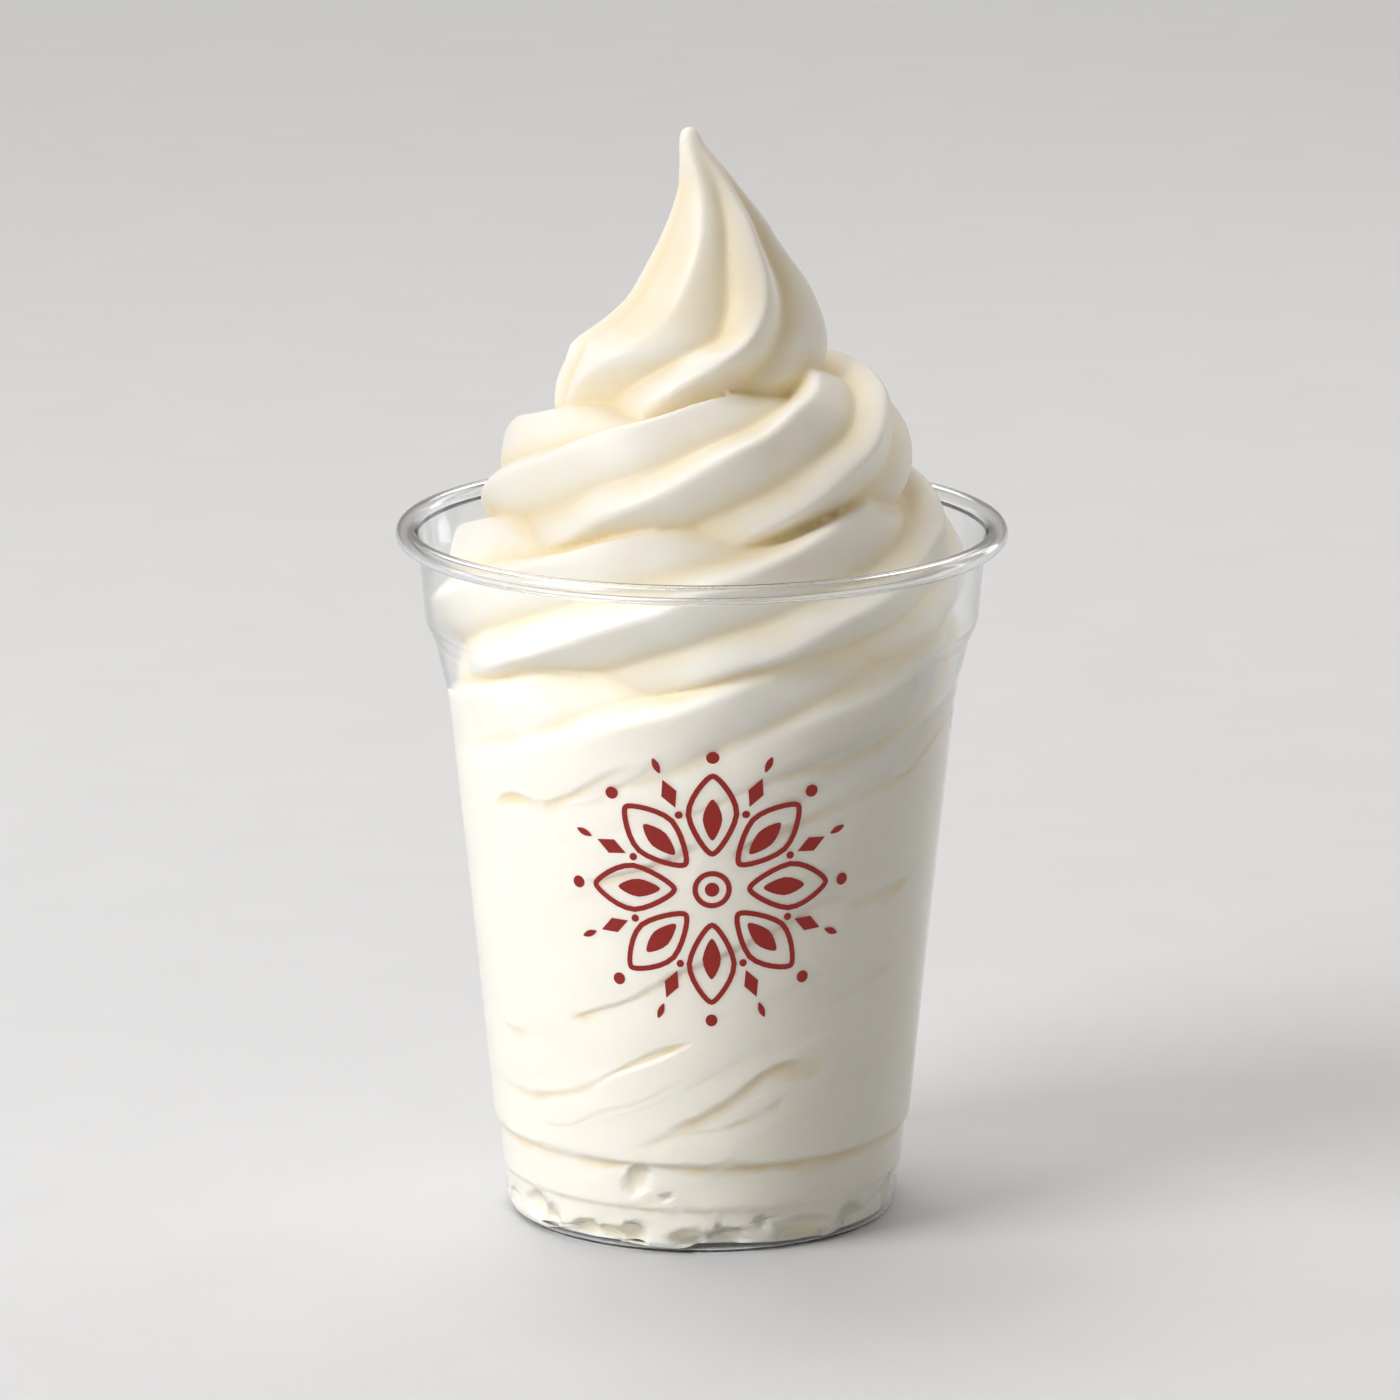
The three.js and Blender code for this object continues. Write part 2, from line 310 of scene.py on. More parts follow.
# One flat shape standing in the XZ plane, its upper end drawn in to a point where it is a petal
def flatShape(away, halfWide, halfHigh, corners, line, pointed):
    bpy.ops.mesh.primitive_circle_add(vertices=corners, radius=mm, fill_type="NGON",
                                      rotation=(math.pi / 2, 0, 0))
    piece = bpy.context.object
    bpy.ops.object.transform_apply()
    bpy.ops.object.mode_set(mode="EDIT")
    bpy.ops.transform.resize(value=(halfWide, 1, halfHigh))
    bpy.ops.object.mode_set(mode="OBJECT")
    if pointed:
        place = points(piece)
        up = place[:, 2] / (halfHigh * mm)
        place[:, 0] *= 1 - 0.42 * np.abs(up) ** 1.5 + 0.12 * up * (1 - np.abs(up))
        movePoints(piece, place)
    bpy.ops.object.mode_set(mode="EDIT")
    if line:
        bpy.ops.mesh.inset(thickness=line * mm)
        bpy.ops.mesh.delete(type="FACE")
        bpy.ops.mesh.select_all(action="SELECT")
    bpy.ops.transform.translate(value=(0, 0, away * mm))
    bpy.ops.object.mode_set(mode="OBJECT")
    return piece


# Laid on the outside of the wall: sideways becomes a turn round the axis
def wrapOnWall(piece):
    place = points(piece)
    height = place[:, 2] / mm + rosette["height"]
    heights, radii = zip(*cup["outside"])
    around = place[:, 0] / mm / np.interp(rosette["height"], heights, radii)
    around += math.radians(rosette["bearing"])
    reach = np.interp(height, heights, radii) + rosette["lift"]
    movePoints(piece, np.stack([reach * np.sin(around), -reach * np.cos(around), height], 1) * mm)


def redInk():
    material, tree, shader = newMaterial("darkRedInk")
    place = addNode(tree, "TexCoord")
    grain = addNode(tree, "TexNoise", Scale=900, Detail=3)
    tone = addNode(tree, "MixRGB", Color1=(*rosette["colour"], 1), Color2=(*rosette["colourThin"], 1))
    bump = addNode(tree, "Bump", Strength=0.15, Distance=0.0001)
    tree.links.new(place.outputs["Object"], grain.inputs["Vector"])
    tree.links.new(grain.outputs["Fac"], tone.inputs["Fac"])
    tree.links.new(grain.outputs["Fac"], bump.inputs["Height"])
    tree.links.new(tone.outputs["Color"], shader.inputs["Base Color"])
    tree.links.new(bump.outputs["Normal"], shader.inputs["Normal"])
    shader.inputs["Roughness"].default_value = 0.45
    shader.inputs["Specular IOR Level"].default_value = 0.3
    shineThrough(tree, shader, (1, 1, 1))
    return material


def makeRosette():
    parts = []
    step = math.tau / rosette["petals"]
    for name, away, halfWide, halfHigh, corners, line, offset in rosette["shapes"]:
        first = flatShape(away, halfWide, halfHigh, corners, line, name != "lozenge" and halfHigh > halfWide)
        for i in range(rosette["petals"]):
            copy = first.copy()
            copy.data = first.data.copy()
            bpy.context.collection.objects.link(copy)
            copy.rotation_euler = (0, (i + offset) * step, 0)
            parts.append(copy)
        bpy.data.objects.remove(first)
    radius, line = rosette["middleRadius"], rosette["middleLine"]
    parts.append(flatShape(0, radius, radius, 40, line, False))
    parts.append(flatShape(0, rosette["middleDot"], rosette["middleDot"], 24, 0, False))
    bpy.ops.object.select_all(action="DESELECT")
    for part in parts:
        part.select_set(True)
    bpy.context.view_layer.objects.active = parts[0]
    bpy.ops.object.join()
    piece = bpy.context.object
    piece.name = "printedRosette"
    bpy.ops.object.transform_apply()
    bpy.ops.object.mode_set(mode="EDIT")
    bpy.ops.mesh.select_all(action="SELECT")
    bpy.ops.mesh.quads_convert_to_tris()
    bpy.ops.mesh.subdivide(number_cuts=2)
    bpy.ops.mesh.normals_make_consistent(inside=False)
    bpy.ops.object.mode_set(mode="OBJECT")
    wrapOnWall(piece)
    applyModifier(piece, "SOLIDIFY", thickness=rosette["ink"] * mm, offset=0)
    piece.data.materials.append(redInk())
    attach(piece, "root")


makeRosette()
print("print laid on the cup")


# Ice cream: a ridged rope laid in turns that rise, draw in and stand up to a tip

iceCream = {
    "ridges": 6, "ridgeDepth": 0.13, "packedRidgeDepth": 0.21, "ridgeSharpness": 0.985, "ridgeLean": 0.3,
    "ridgeBearing": -106,
    "firstTurn": -6.4, "turnRise": 18.4, "ropeInset": 12.2, "knotsPerTurn": 12,
    "ringsPerKnot": 8, "pointsPerRidge": 18,
    "crowdStart": 0.5, "crowdRoom": 0.4, "pressSoftness": 1.5,
    # packed low in the cup: up to which height, free from which, how deep the packing reaches
    "packedHeight": 74, "freeHeight": 94, "packedDepth": 40,
    # what was a hollow of creaseFrom stays a crease of creaseDepth, more so in patches
    "creaseDepth": 0.45, "creaseFrom": 2.6, "creasePower": 1.25,
    "patchSize": 34, "patchShare": 2,
    # and it fades out in calm patches
    "calmSize": 30, "calmShare": 0.4, "calmShift": 200,
    # how far it reaches into the cup, so that no air gap shows, and down in the foot
    "intoWall": 0.54, "channelFloor": 0.9,
    "dentSize": 11, "dentDepth": 0.5, "wanderSize": 30, "wanderDepth": 4, "voxel": 0.45, "smoothing": 5, "mostFaces": 192000,
    # above the cup the turns draw in: turn, distance from the axis, height, rope radius
    "freeTurns": [(-2, 28.4, 87, 13.2), (-1.5, 28.2, 96.5, 13.2), (-1.25, 29, 101, 13),
                  (-1, 28.8, 105, 12.8), (-0.75, 28.2, 107.5, 12.6), (-0.5, 26, 112.5, 12.7),
                  (-0.25, 21.3, 118.2, 12.7), (0, 21.5, 122.5, 12.6), (0.25, 19.5, 126, 12.4),
                  (0.5, 14.5, 128.5, 12), (0.75, 8.5, 129.5, 11), (0.9, 6, 130.5, 10)],
    "coreStep": 9, "coreOverlap": 2.5, "coreTop": 137, "coreTopRadius": 9,
}


# The last turn is drawn up into a leaning peak. Level sections: height, middle x and y, reach
# of the crests, how much deeper the valleys lie, how far the ridges are wound in degrees
peak = {
    "sections": [
        (124, -4.5, -1.5, 14, 0.1, -57), (130, -4.5, -1.5, 18.5, 0.12, -56),
        (134, -3.5, -1.5, 20, 0.13, -52), (138, -2, -1.3, 20.9, 0.15, -42),
        (141.3, -0.95, -1, 20.9, 0.18, -27), (143, -0.4, -0.8, 20.4, 0.18, -21),
        (146, 1.45, -0.5, 17.8, 0.19, -12), (149.3, 2.75, -0.3, 15.1, 0.2, -5),
        (152.6, 3.05, 0, 13.2, 0.21, 0), (155.8, 3, 0, 11.3, 0.22, 4),
        (159, 2.8, 0, 9.5, 0.22, 8), (162.3, 2.45, 0, 7.9, 0.22, 11),
        (167.1, 1.2, 0, 5.2, 0.21, 16), (170.4, 0, 0, 3.6, 0.18, 19),
        (173.6, -1.35, 0, 2.2, 0.12, 22), (175.9, -1.9, 0, 1.4, 0.05, 24),
        (176.6, -1.9, 0, 0.6, 0, 24)],
    "depth": 0.9, "crest": -27, "winding": 15, "steps": 130, "pointsPerRidge": 26,
    "sharpness": 0.99,
    # valley after each crest, from the front one on: its place from crest to crest, its depth
    "valleys": [(0.5, 1.15), (0.5, 1.25), (0.5, 1), (0.5, 0.9), (0.5, 1), (0.2, 0.6)],
    # the front valley wanders: height, place
    "frontValley": [(124, 0.6), (139.4, 0.64), (142.5, 0.68), (145, 0.8), (148.3, 0.67),
                    (152.6, 0.54), (158, 0.48), (176.6, 0.5)],
}


# Values from a table of rows, with an even bend through them
def fromRows(rows, at):
    rows = np.array(rows, float)
    key, last = rows[:, 0], len(rows) - 1
    i = np.clip(np.searchsorted(key, at) - 1, 0, last - 1)
    before, after = np.maximum(np.arange(last + 1) - 1, 0), np.minimum(np.arange(last + 1) + 1, last)
    slope = (rows[after] - rows[before]) / (key[after] - key[before])[:, None]
    width = np.array(key[i + 1] - key[i])[..., None]
    s = np.array(at - key[i])[..., None] / width
    value = rows[i] + (rows[i + 1] - rows[i]) * s * s * (3 - 2 * s)
    value += width * (slope[i] * s * (1 - s) ** 2 - slope[i + 1] * s * s * (1 - s))
    return value[..., 1:]


# From 1 on the crest of a ridge to -1 in the valley between two. A lean above 0 brings the
# crest closer to the valley before it
def ridgeWave(angle, sharp, lean=0):
    turnedBy = iceCream["ridges"] * angle
    return np.arcsin(sharp * np.cos(turnedBy + lean * (1 + np.cos(turnedBy)))) / math.asin(sharp)


# Knots of the rope's middle line: x, y, height and rope radius
def ropeKnots():
    turns = iceCream["freeTurns"]
    count = round((turns[-1][0] - iceCream["firstTurn"]) * iceCream["knotsPerTurn"])
    knots = []
    for turn in np.linspace(iceCream["firstTurn"], turns[-1][0], count + 1):
        if turn < turns[0][0]:
            height = turns[0][2] + iceCream["turnRise"] * (turn - turns[0][0])
            away, radius = insideRadius(height) - iceCream["ropeInset"], turns[0][3]
        else:
            away, height, radius = fromRows(turns, turn)
        angle = turn * math.tau
        knots.append((away * math.sin(angle), -away * math.cos(angle), height, radius))
    return np.array(knots)


# A smooth curve through the knots, and its slope, evenly spaced from knot to knot
def smoothCurve(knots, perKnot):
    ends = np.vstack([2 * knots[0] - knots[1], knots, 2 * knots[-1] - knots[-2]])
    at = np.arange(perKnot * (len(knots) - 1) + 1) / perKnot
    k = np.minimum(at.astype(int), len(knots) - 2)
    t = (at - k)[:, None]
    a, b, c, d = (ends[k + i] for i in range(4))
    u, v, w = (np.linalg.norm((q - p)[:, :3], axis=1)[:, None] ** 0.5
               for p, q in ((a, b), (b, c), (c, d)))
    slopeB = ((b - a) / u - (c - a) / (u + v) + (c - b) / v) * v
    slopeC = ((c - b) / v - (d - b) / (v + w) + (d - c) / w) * v
    place = (b * (2 * t ** 3 - 3 * t ** 2 + 1) + slopeB * (t ** 3 - 2 * t ** 2 + t)
             + c * (3 * t ** 2 - 2 * t ** 3) + slopeC * (t ** 3 - t ** 2))
    slope = (b * (6 * t ** 2 - 6 * t) + slopeB * (3 * t ** 2 - 4 * t + 1)
             + c * (6 * t - 6 * t ** 2) + slopeC * (3 * t ** 2 - 2 * t))
    return place, slope


# Folds that the wall shows in front, each with a lip and a hollow below it: how strong, how
# wide the hollow, and points of the lip by bearing in degrees and height
folds = [
    (1.0, 4.2, [(-13, 19.8), (-2, 23), (7, 26), (14, 29.6), (20, 31.5), (30, 32), (38, 32.2)]),
    (0.8, 2.4, [(-22, 16.6), (-8, 20.3), (7, 21.8), (18, 24.6), (27, 28.3)]),
    (0.8, 1.2, [(-66, 34.3), (-56, 33.8), (-47, 34.4), (-38, 35.7)]),
    (0.8, 5.0, [(-68, 23.4), (-50, 24), (-34, 26.4), (-24, 30), (-13, 34), (0, 36.6)]),
    (0.9, 4.0, [(-39, 37.4), (-27, 40.6), (-19, 42.5), (-7, 47.2), (6, 51.1), (18, 54.6),
                (26, 57.7), (42, 60)]),
    (0.9, 3.0, [(-60, 70.9), (-49, 74.2), (-40, 73.8), (-31, 76.2), (-20, 80.9), (-8, 86)]),
    (0.8, 3.2, [(-39, 71.5), (-28, 74.6), (-17, 79.2), (-5, 85)]),
    (0.9, 3.2, [(12, 74.8), (25, 76.7), (33, 78.7), (43, 79.3), (62, 81)]),
    (1.0, 4.0, [(4, 66.8), (17, 70.8), (28, 73.4), (43, 76.2), (63, 77.8)]),
    (0.8, 3.4, [(25, 42.6), (38, 42.4), (49, 44.6), (61, 46.6)]),
    (1.0, 4.0, [(-31, 61.4), (-18, 64.1), (-8, 66.7), (3, 70.6)]),
    (0.8, 3.4, [(32, 57), (47, 58.1), (63, 59)]),
]
foldLook = {"lip": 0.6, "taper": 9, "calmFront": 0.75, "calmBelow": (72, 84)}


# How deep in one of the folds each place is, from 0 to 1
def foldDepth(place):
    bearing = np.degrees(np.arctan2(place[:, 0], -place[:, 1]))
    deep = np.zeros(len(place))
    for strength, width, lip in folds:
        first, last = lip[0][0], lip[-1][0]
        above = place[:, 2] - fromRows(lip, np.clip(bearing, first, last))[:, 0]
        taper = evenStep(first, first + foldLook["taper"], bearing)
        taper *= 1 - evenStep(last - foldLook["taper"], last, bearing)
        below = np.exp(np.minimum(above, 0) / width) * (1 - evenStep(0, foldLook["lip"], above))
        deep = np.maximum(deep, strength * taper * below)
    return deep


# Low in the cup the hollows between the turns are packed out into the wall, down to creases.
# Gives the new places, and how deep in a crease each one is, from 0 to 1
def packOut(place):
    reach, height = np.hypot(place[:, 0], place[:, 1]), place[:, 2]
    limit = insideRadius(height) + iceCream["intoWall"]
    hollow = np.maximum(limit - reach, 0)
    packed = 1 - evenStep(iceCream["packedHeight"], iceCream["freeHeight"], height)
    packed *= np.exp(-(hollow / iceCream["packedDepth"]) ** 2)
    patch = noiseAt(place, iceCream["patchSize"])[:, 0]
    deepest = iceCream["creaseFrom"] * np.clip(1 - iceCream["patchShare"] * patch, 0.6, 3)
    crease = np.clip(hollow / deepest, 0, 1) ** iceCream["creasePower"]
    calm = noiseAt(place + iceCream["calmShift"], iceCream["calmSize"])[:, 0]
    crease *= 1 - iceCream["calmShare"] * evenStep(-0.12, 0.22, calm)
    facing = evenStep(0.1, 0.5, -place[:, 1] / np.maximum(reach, 1e-6))
    facing *= 1 - evenStep(*foldLook["calmBelow"], height)
    crease = np.maximum(crease * (1 - foldLook["calmFront"] * facing), foldDepth(place))
    held = reach + (hollow - iceCream["creaseDepth"] * crease) * packed
    held = np.where(height < cup["height"], np.minimum(held, limit), held)
    place[:, :2] *= (held / np.maximum(reach, 1e-6))[:, None]
    place[:, 2] = np.maximum(height, creamFloor(held))
    return place, crease * packed


# How low the ice cream lies: it sags into the channel of the foot
def creamFloor(reach):
    base = cup["baseRecess"] + cup["wall"] - iceCream["intoWall"]
    channel = [cup["footRadius"] - 4, cup["footRadius"] - 2.2]
    return np.interp(reach, channel, [base, iceCream["channelFloor"]])


# Pressed flat where it meets the wall and the base
def pressIn(place):
    soft = iceCream["pressSoftness"]
    reach = np.hypot(place[..., 0], place[..., 1])
    limit = insideRadius(place[..., 2]) + iceCream["intoWall"]
    limit = np.where(place[..., 2] > cup["height"], reach + 99, limit)
    blend = np.clip(0.5 + (limit - reach) / (2 * soft), 0, 1)
    pressed = limit * (1 - blend) + reach * blend - soft * blend * (1 - blend)
    held = np.where(blend < 1, pressed, reach)
    place[..., :2] *= (held / np.maximum(reach, 1e-6))[..., None]
    place[..., 2] = np.maximum(place[..., 2], creamFloor(held))
    return place


# The rope's skin: its ridges keep their compass bearing while the rope is upright
def ropeSkin():
    perKnot = iceCream["ringsPerKnot"]
    curve, slope = smoothCurve(ropeKnots(), perKnot)
    middle, radius = curve[:, :3], curve[:, 3]
    along = slope[:, :3] / np.linalg.norm(slope[:, :3], axis=1)[:, None]
    ahead = np.minimum(np.arange(len(curve)) + perKnot, len(curve) - 1)
    behind = np.maximum(np.arange(len(curve)) - perKnot, 0)
    apart = np.linalg.norm(middle[ahead] - middle[behind], axis=1)
    bend = (along[ahead] - along[behind]) / apart[:, None]
    x, y, z = along.T
    across = np.stack([1 - x * x / (1 + z), -x * y / (1 + z), -x], 1)
    over = np.stack([-x * y / (1 + z), 1 - y * y / (1 + z), -y], 1)
    angle = np.linspace(0, math.tau, iceCream["ridges"] * iceCream["pointsPerRidge"] + 1)
    wave = ridgeWave(angle, iceCream["ridgeSharpness"], iceCream["ridgeLean"])
    free = evenStep(iceCream["packedHeight"] - 8, iceCream["freeHeight"] - 8, middle[:, 2])
    deep = iceCream["packedRidgeDepth"] * (1 - free) + iceCream["ridgeDepth"] * free
    reach = radius[:, None] * (1 + deep[:, None] * wave[None])
    turned = angle + math.radians(iceCream["ridgeBearing"])
    place = (across[:, None] * (reach * np.cos(turned))[..., None]
             + over[:, None] * (reach * np.sin(turned))[..., None])
    inward = (place * bend[:, None]).sum(2)
    start, space = iceCream["crowdStart"], iceCream["crowdRoom"]
    kept = start + space * np.tanh((inward - start) / space)
    shift = np.where(inward > start, kept - inward, 0) / (bend ** 2).sum(1)[:, None]
    place += bend[:, None] * shift[..., None] + middle[:, None]
    return pressIn(place), middle


# The peak's skin: its ridges wind most in front, where they sweep down to the left
def peakSkin():
    rows = peak["sections"]
    height = np.linspace(rows[0][0], rows[-1][0], peak["steps"])
    middleX, middleY, reach, deeper, wound = (
        fromRows(rows, height)[:, k, None] for k in range(5))
    angle = np.linspace(0, math.tau, iceCream["ridges"] * peak["pointsPerRidge"] + 1)[None]
    gap, along = np.divmod(angle * iceCream["ridges"] / math.tau, 1)
    gap = gap.astype(int) % iceCream["ridges"]
    place, depth = np.array(peak["valleys"]).T
    valley = np.where(gap == 0, fromRows(peak["frontValley"], height)[:, :1], place[gap])
    phase = np.where(along < valley, along / valley, 1 + (along - valley) / (1 - valley)) / 2
    wave = ridgeWave(phase * math.tau / iceCream["ridges"], peak["sharpness"])
    away = reach * (1 - deeper * depth[gap] * (1 - wave) / 2)
    start = angle + math.radians(peak["crest"])
    bearing = start + np.radians(wound) * np.cos(start - math.radians(peak["winding"]))
    return np.stack([middleX + away * np.sin(bearing),
                     middleY - away * peak["depth"] * np.cos(bearing),
                     height[:, None] + 0 * angle], 2)


# A grid wrapped round a skin's rings, welded along its seam and closed at both ends
def wrapGrid(skin):
    rings, around = skin.shape[:2]
    bpy.ops.mesh.primitive_grid_add(x_subdivisions=around - 1, y_subdivisions=rings - 1)
    piece = bpy.context.object
    movePoints(piece, skin.reshape(-1, 3) * mm)
    bpy.ops.object.mode_set(mode="EDIT")
    bpy.ops.mesh.select_all(action="SELECT")
    bpy.ops.mesh.remove_doubles(threshold=0.001 * mm)
    bpy.ops.mesh.fill_holes(sides=0)
    bpy.ops.mesh.select_all(action="SELECT")
    bpy.ops.mesh.normals_make_consistent(inside=False)
    bpy.ops.object.mode_set(mode="OBJECT")
    return piece


# The filled middle, out to where the turns are closest to the axis
def coreLine(middle):
    floor = cup["baseRecess"] + cup["wall"] - iceCream["intoWall"]
    half = iceCream["turnRise"] / 2
    line = [(0, floor), (insideRadius(floor) - half, floor)]
    height = iceCream["turnRise"]
    while height < iceCream["coreTop"] - iceCream["coreStep"]:
        near = middle[abs(middle[:, 2] - height) < half]
        reach = np.hypot(near[:, 0], near[:, 1]).min() + iceCream["coreOverlap"]
        line.append((min(reach, insideRadius(height)), height))
        height += iceCream["coreStep"]
    return line + [(iceCream["coreTopRadius"], iceCream["coreTop"]), (0, iceCream["coreTop"])]


def makeIceCream():
    skin, middle = ropeSkin()
    piece = wrapGrid(skin)
    core = spinLine("core", coreLine(middle), 48)
    top = wrapGrid(peakSkin())
    bpy.ops.object.select_all(action="DESELECT")
    for part in (core, top, piece):
        part.select_set(True)
    bpy.context.view_layer.objects.active = piece
    bpy.ops.object.join()
    piece.name = "softServe"
    applyModifier(piece, "REMESH", mode="VOXEL", voxel_size=iceCream["voxel"] * mm)
    print("ice cream joined,", len(piece.data.polygons), "faces")
    keepOuterSkin(piece)
    applyModifier(piece, "SMOOTH", factor=0.5, iterations=iceCream["smoothing"])
    faces = len(piece.data.polygons) * 2
    applyModifier(piece, "DECIMATE", ratio=min(1, iceCream["mostFaces"] / faces))
    place, crease = packOut(uneven(points(piece) / mm))
    movePoints(piece, place * mm)
    return piece, crease


# Smooth random numbers from -1 to 1, three for each place, that vary over the given size
def noiseAt(place, size):
    return np.array([noise.noise_vector(Vector(point) / size) for point in place])


def evenStep(low, high, value):
    t = np.clip((value - low) / (high - low), 0, 1)
    return t * t * (3 - 2 * t)


# Soft dents and swellings, as in anything piped, and turns that wander up and down in the cup
def uneven(place):
    height = place[:, 2]
    inCup = evenStep(2, 16, height) * (1 - evenStep(78, 94, height))
    wander = noiseAt(place, iceCream["wanderSize"])[:, 2] * iceCream["wanderDepth"] * inCup
    place = place + noiseAt(place, iceCream["dentSize"]) * iceCream["dentDepth"]
    place[:, 2] += wander
    return place


# Pockets shut in between the turns are deleted: what hangs together with the tip is kept
def keepOuterSkin(piece):
    top = int(points(piece)[:, 2].argmax())
    bpy.ops.object.mode_set(mode="EDIT")
    bpy.ops.mesh.select_mode(type="VERT")
    bpy.ops.mesh.select_all(action="DESELECT")
    bpy.ops.object.mode_set(mode="OBJECT")
    piece.data.vertices[top].select = True
    bpy.ops.object.mode_set(mode="EDIT")
    bpy.ops.mesh.select_linked()
    bpy.ops.mesh.select_all(action="INVERT")
    bpy.ops.mesh.delete(type="VERT")
    bpy.ops.object.mode_set(mode="OBJECT")


# Air bubbles against the wall: bearing in degrees, height, half width, half height, depth
airPockets = {
    "front": [(-57, 4.2, 2.8, 2.4, 1.7), (-51, 2.6, 2.6, 1.8, 2.4), (-36, 2.6, 2.6, 1.7, 2.4),
              (-28.5, 2.0, 3.0, 1.7, 2.4), (-20.5, 2.6, 2.3, 2.5, 2.6), (-3.5, 2.4, 3.0, 1.6, 2.4),
              (7, 2.6, 3.2, 1.9, 2.6), (17.2, 5.2, 1.0, 1.1, 1.4), (32, 2.7, 5.2, 2.1, 2.8),
              (49, 3.5, 2.6, 1.9, 2.4), (70, 4.4, 1.8, 3.6, 2.4), (-18.5, 12.2, 1.6, 2.5, 1.4),
              (-16.5, 13.4, 1.3, 1.5, 1.2), (-10, 9.8, 0.9, 0.7, 1.0)],
    "backCount": 16, "seed": 7,
}


def pocketList():
    draw = np.random.default_rng(airPockets["seed"])
    pockets = list(airPockets["front"])
    for bearing in np.linspace(86, 286, airPockets["backCount"]):
        wide = draw.uniform(1.4, 3.4)
        pockets.append((bearing + draw.uniform(-5, 5), draw.uniform(2.4, 3.8), wide,
                        draw.uniform(1.2, 2.2), wide * 0.7))
    return pockets


def carvePockets(place):
    bearing = np.arctan2(place[:, 0], -place[:, 1])
    reach = np.hypot(place[:, 0], place[:, 1])
    outside = insideRadius(place[:, 2]) + iceCream["intoWall"]
    near = outside - reach < 4
    pocketed = np.zeros(len(place), bool)
    for at, height, halfWide, halfHigh, depth in pocketList():
        off = (bearing - math.radians(at) + math.pi) % math.tau - math.pi
        spread = (off * outside / halfWide) ** 2 + ((place[:, 2] - height) / halfHigh) ** 2
        floor = outside - depth * np.sqrt(np.clip(1 - spread, 0, 1)) * evenStep(1.1, 2, place[:, 2])
        cut = near & (spread < 1) & (reach > floor)
        place[cut, :2] *= (floor / np.maximum(reach, 1e-6))[cut, None]
        reach[cut] = floor[cut]
        pocketed |= cut
    return place, pocketed


# Values at the points of a mesh, evened out along its edges for so many rounds
def evenOut(piece, values, rounds):
    ends = np.empty(len(piece.data.edges) * 2, int)
    piece.data.edges.foreach_get("vertices", ends)
    near, far = ends.reshape(-1, 2).T
    count = len(values)
    share = np.bincount(near, minlength=count) + np.bincount(far, minlength=count)
    for _ in range(rounds):
        total = np.stack([np.bincount(near, column[far], count)
                          + np.bincount(far, column[near], count) for column in values.T], 1)
        values = 0.5 * values + 0.5 * total / share[:, None]
    return values


# How hollow the skin is, from how far a smoothed copy of it stands out of it, in millimetres
def hollowness(piece, rounds):
    place = points(piece)
    out = np.empty(place.size)
    piece.data.vertices.foreach_get("normal", out)
    return ((evenOut(piece, place, rounds) - place) * out.reshape(-1, 3)).sum(1) / mm


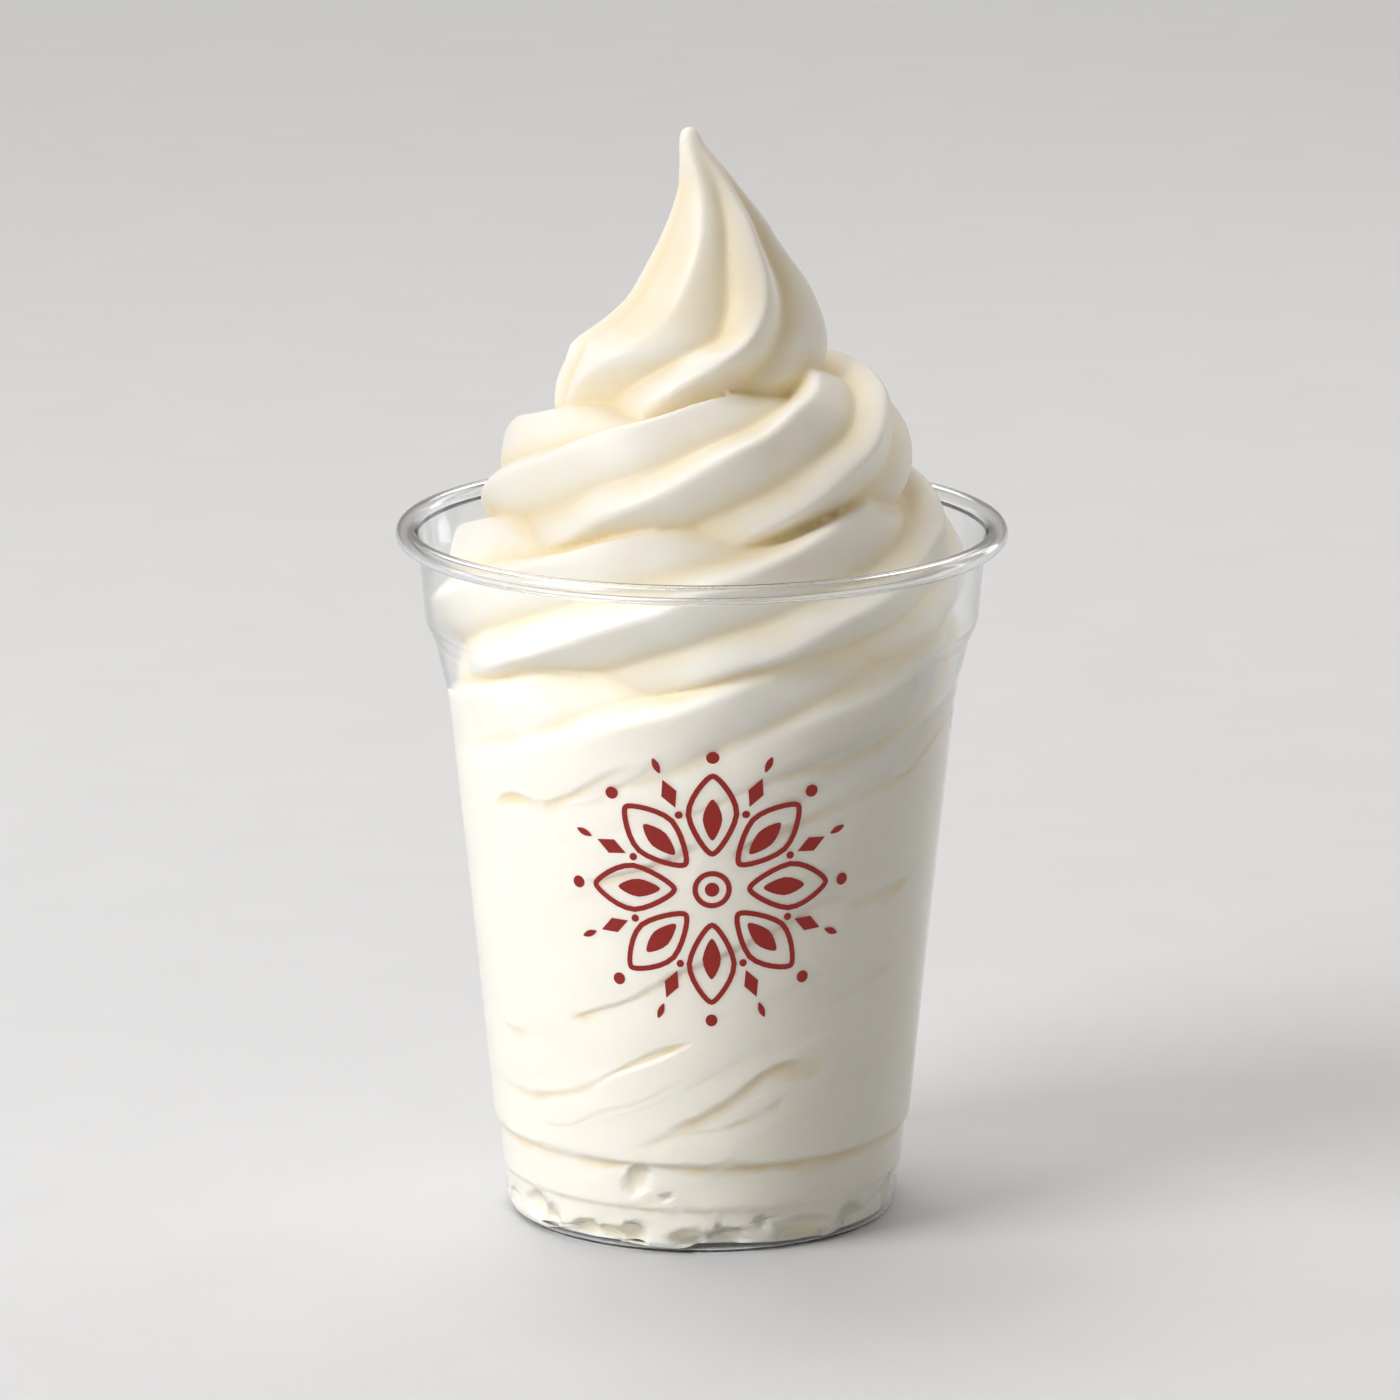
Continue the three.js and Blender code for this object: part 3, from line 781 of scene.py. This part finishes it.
def vanillaCream():
    material, tree, shader = newMaterial("vanillaCream")
    place = addNode(tree, "TexCoord")
    # Painted shade: the hollow attribute mixes the cream's own colour towards a warm tan in hollows and
    # creases, in place of the shade that falls there
    hollow = addNode(tree, "Attribute", attribute_name="hollow")
    paintedShadeAmount = addNode(tree, "MapRange")
    paintedShadeAmount.inputs["From Min"].default_value = -0.33
    paintedShadeAmount.inputs["From Max"].default_value = 0.5
    cream = addNode(tree, "MixRGB", Color1=(*creamLook["crest"], 1), Color2=(*creamLook["hollow"], 1))
    clouds = addNode(tree, "TexNoise", Scale=45, Detail=3)
    mottle = addNode(tree, "MixRGB", blend_type="MULTIPLY", Fac=creamLook["mottle"])
    ripple = addNode(tree, "TexNoise", Scale=700, Detail=2)
    bump = addNode(tree, "Bump", Strength=0.08, Distance=0.0003)
    gloss = addNode(tree, "MapRange")
    gloss.inputs["To Min"].default_value = creamLook["roughness"] - 0.07
    gloss.inputs["To Max"].default_value = creamLook["roughness"] + 0.07
    tree.links.new(hollow.outputs["Fac"], paintedShadeAmount.inputs["Value"])
    tree.links.new(paintedShadeAmount.outputs["Result"], cream.inputs["Fac"])
    tree.links.new(place.outputs["Object"], clouds.inputs["Vector"])
    tree.links.new(place.outputs["Object"], ripple.inputs["Vector"])
    tree.links.new(cream.outputs["Color"], mottle.inputs["Color1"])
    tree.links.new(clouds.outputs["Fac"], mottle.inputs["Color2"])
    tree.links.new(clouds.outputs["Fac"], gloss.inputs["Value"])
    tree.links.new(ripple.outputs["Fac"], bump.inputs["Height"])
    tree.links.new(mottle.outputs["Color"], shader.inputs["Base Color"])
    tree.links.new(gloss.outputs["Result"], shader.inputs["Roughness"])
    tree.links.new(bump.outputs["Normal"], shader.inputs["Normal"])
    shader.inputs["Subsurface Weight"].default_value = creamLook["glow"]
    shader.inputs["Subsurface Radius"].default_value = (1, 0.55, 0.25)
    shader.inputs["Subsurface Scale"].default_value = creamLook["glowDepth"] * mm
    return material


# The cream's look. crest is the cream's own colour; hollow is a warm tan of painted shade, laid into
# hollows, creases and folds where shade falls. The crease, packed, pocket and range settings after glow set
# how strongly that painted shade goes in.
creamLook = {
    "crest": (0.94, 0.915, 0.845), "hollow": (0.87, 0.72, 0.42), "mottle": 0.04,
    "roughness": 0.42, "glow": 0.3, "glowDepth": 1.2, "hollowRounds": [(14, 0.7), (70, 0.3)],
    "creasePaintedShade": 0.17, "packedLessShade": 0.17, "packedShadeGain": 5, "pocketPaintedShade": 0, "paintedShadeRange": (-0.5, 0.65), "paintedShadeRounds": 5,
}


def finishIceCream(piece, crease):
    place, pocketed = carvePockets(points(piece) / mm)
    movePoints(piece, place * mm)
    # The hollow attribute is painted shade: how far the colour goes towards the warm tan. It is more in
    # hollows and creases, more in the creases low in the cup but paler there overall, and none in the air
    # pockets.
    hollow = piece.data.attributes.new("hollow", "FLOAT", "POINT")
    depth = sum(hollowness(piece, rounds) * share for rounds, share in creamLook["hollowRounds"])
    packed = 1 - evenStep(iceCream["packedHeight"], iceCream["freeHeight"], place[:, 2])
    depth *= 1 + creamLook["packedShadeGain"] * packed
    depth += creamLook["creasePaintedShade"] * crease ** 2 - creamLook["packedLessShade"] * packed
    depth[pocketed] = np.minimum(depth[pocketed], creamLook["pocketPaintedShade"])
    depth = np.clip(depth, *creamLook["paintedShadeRange"])
    depth = evenOut(piece, depth[:, None], creamLook["paintedShadeRounds"])[:, 0]
    hollow.data.foreach_set("value", depth)
    piece.data.materials.append(vanillaCream())
    bpy.ops.object.shade_smooth()
    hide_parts("soft_serve")
    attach(piece, "root")


softServe, crease = makeIceCream()
finishIceCream(softServe, crease)
print("ice cream made,", len(softServe.data.polygons), "faces")
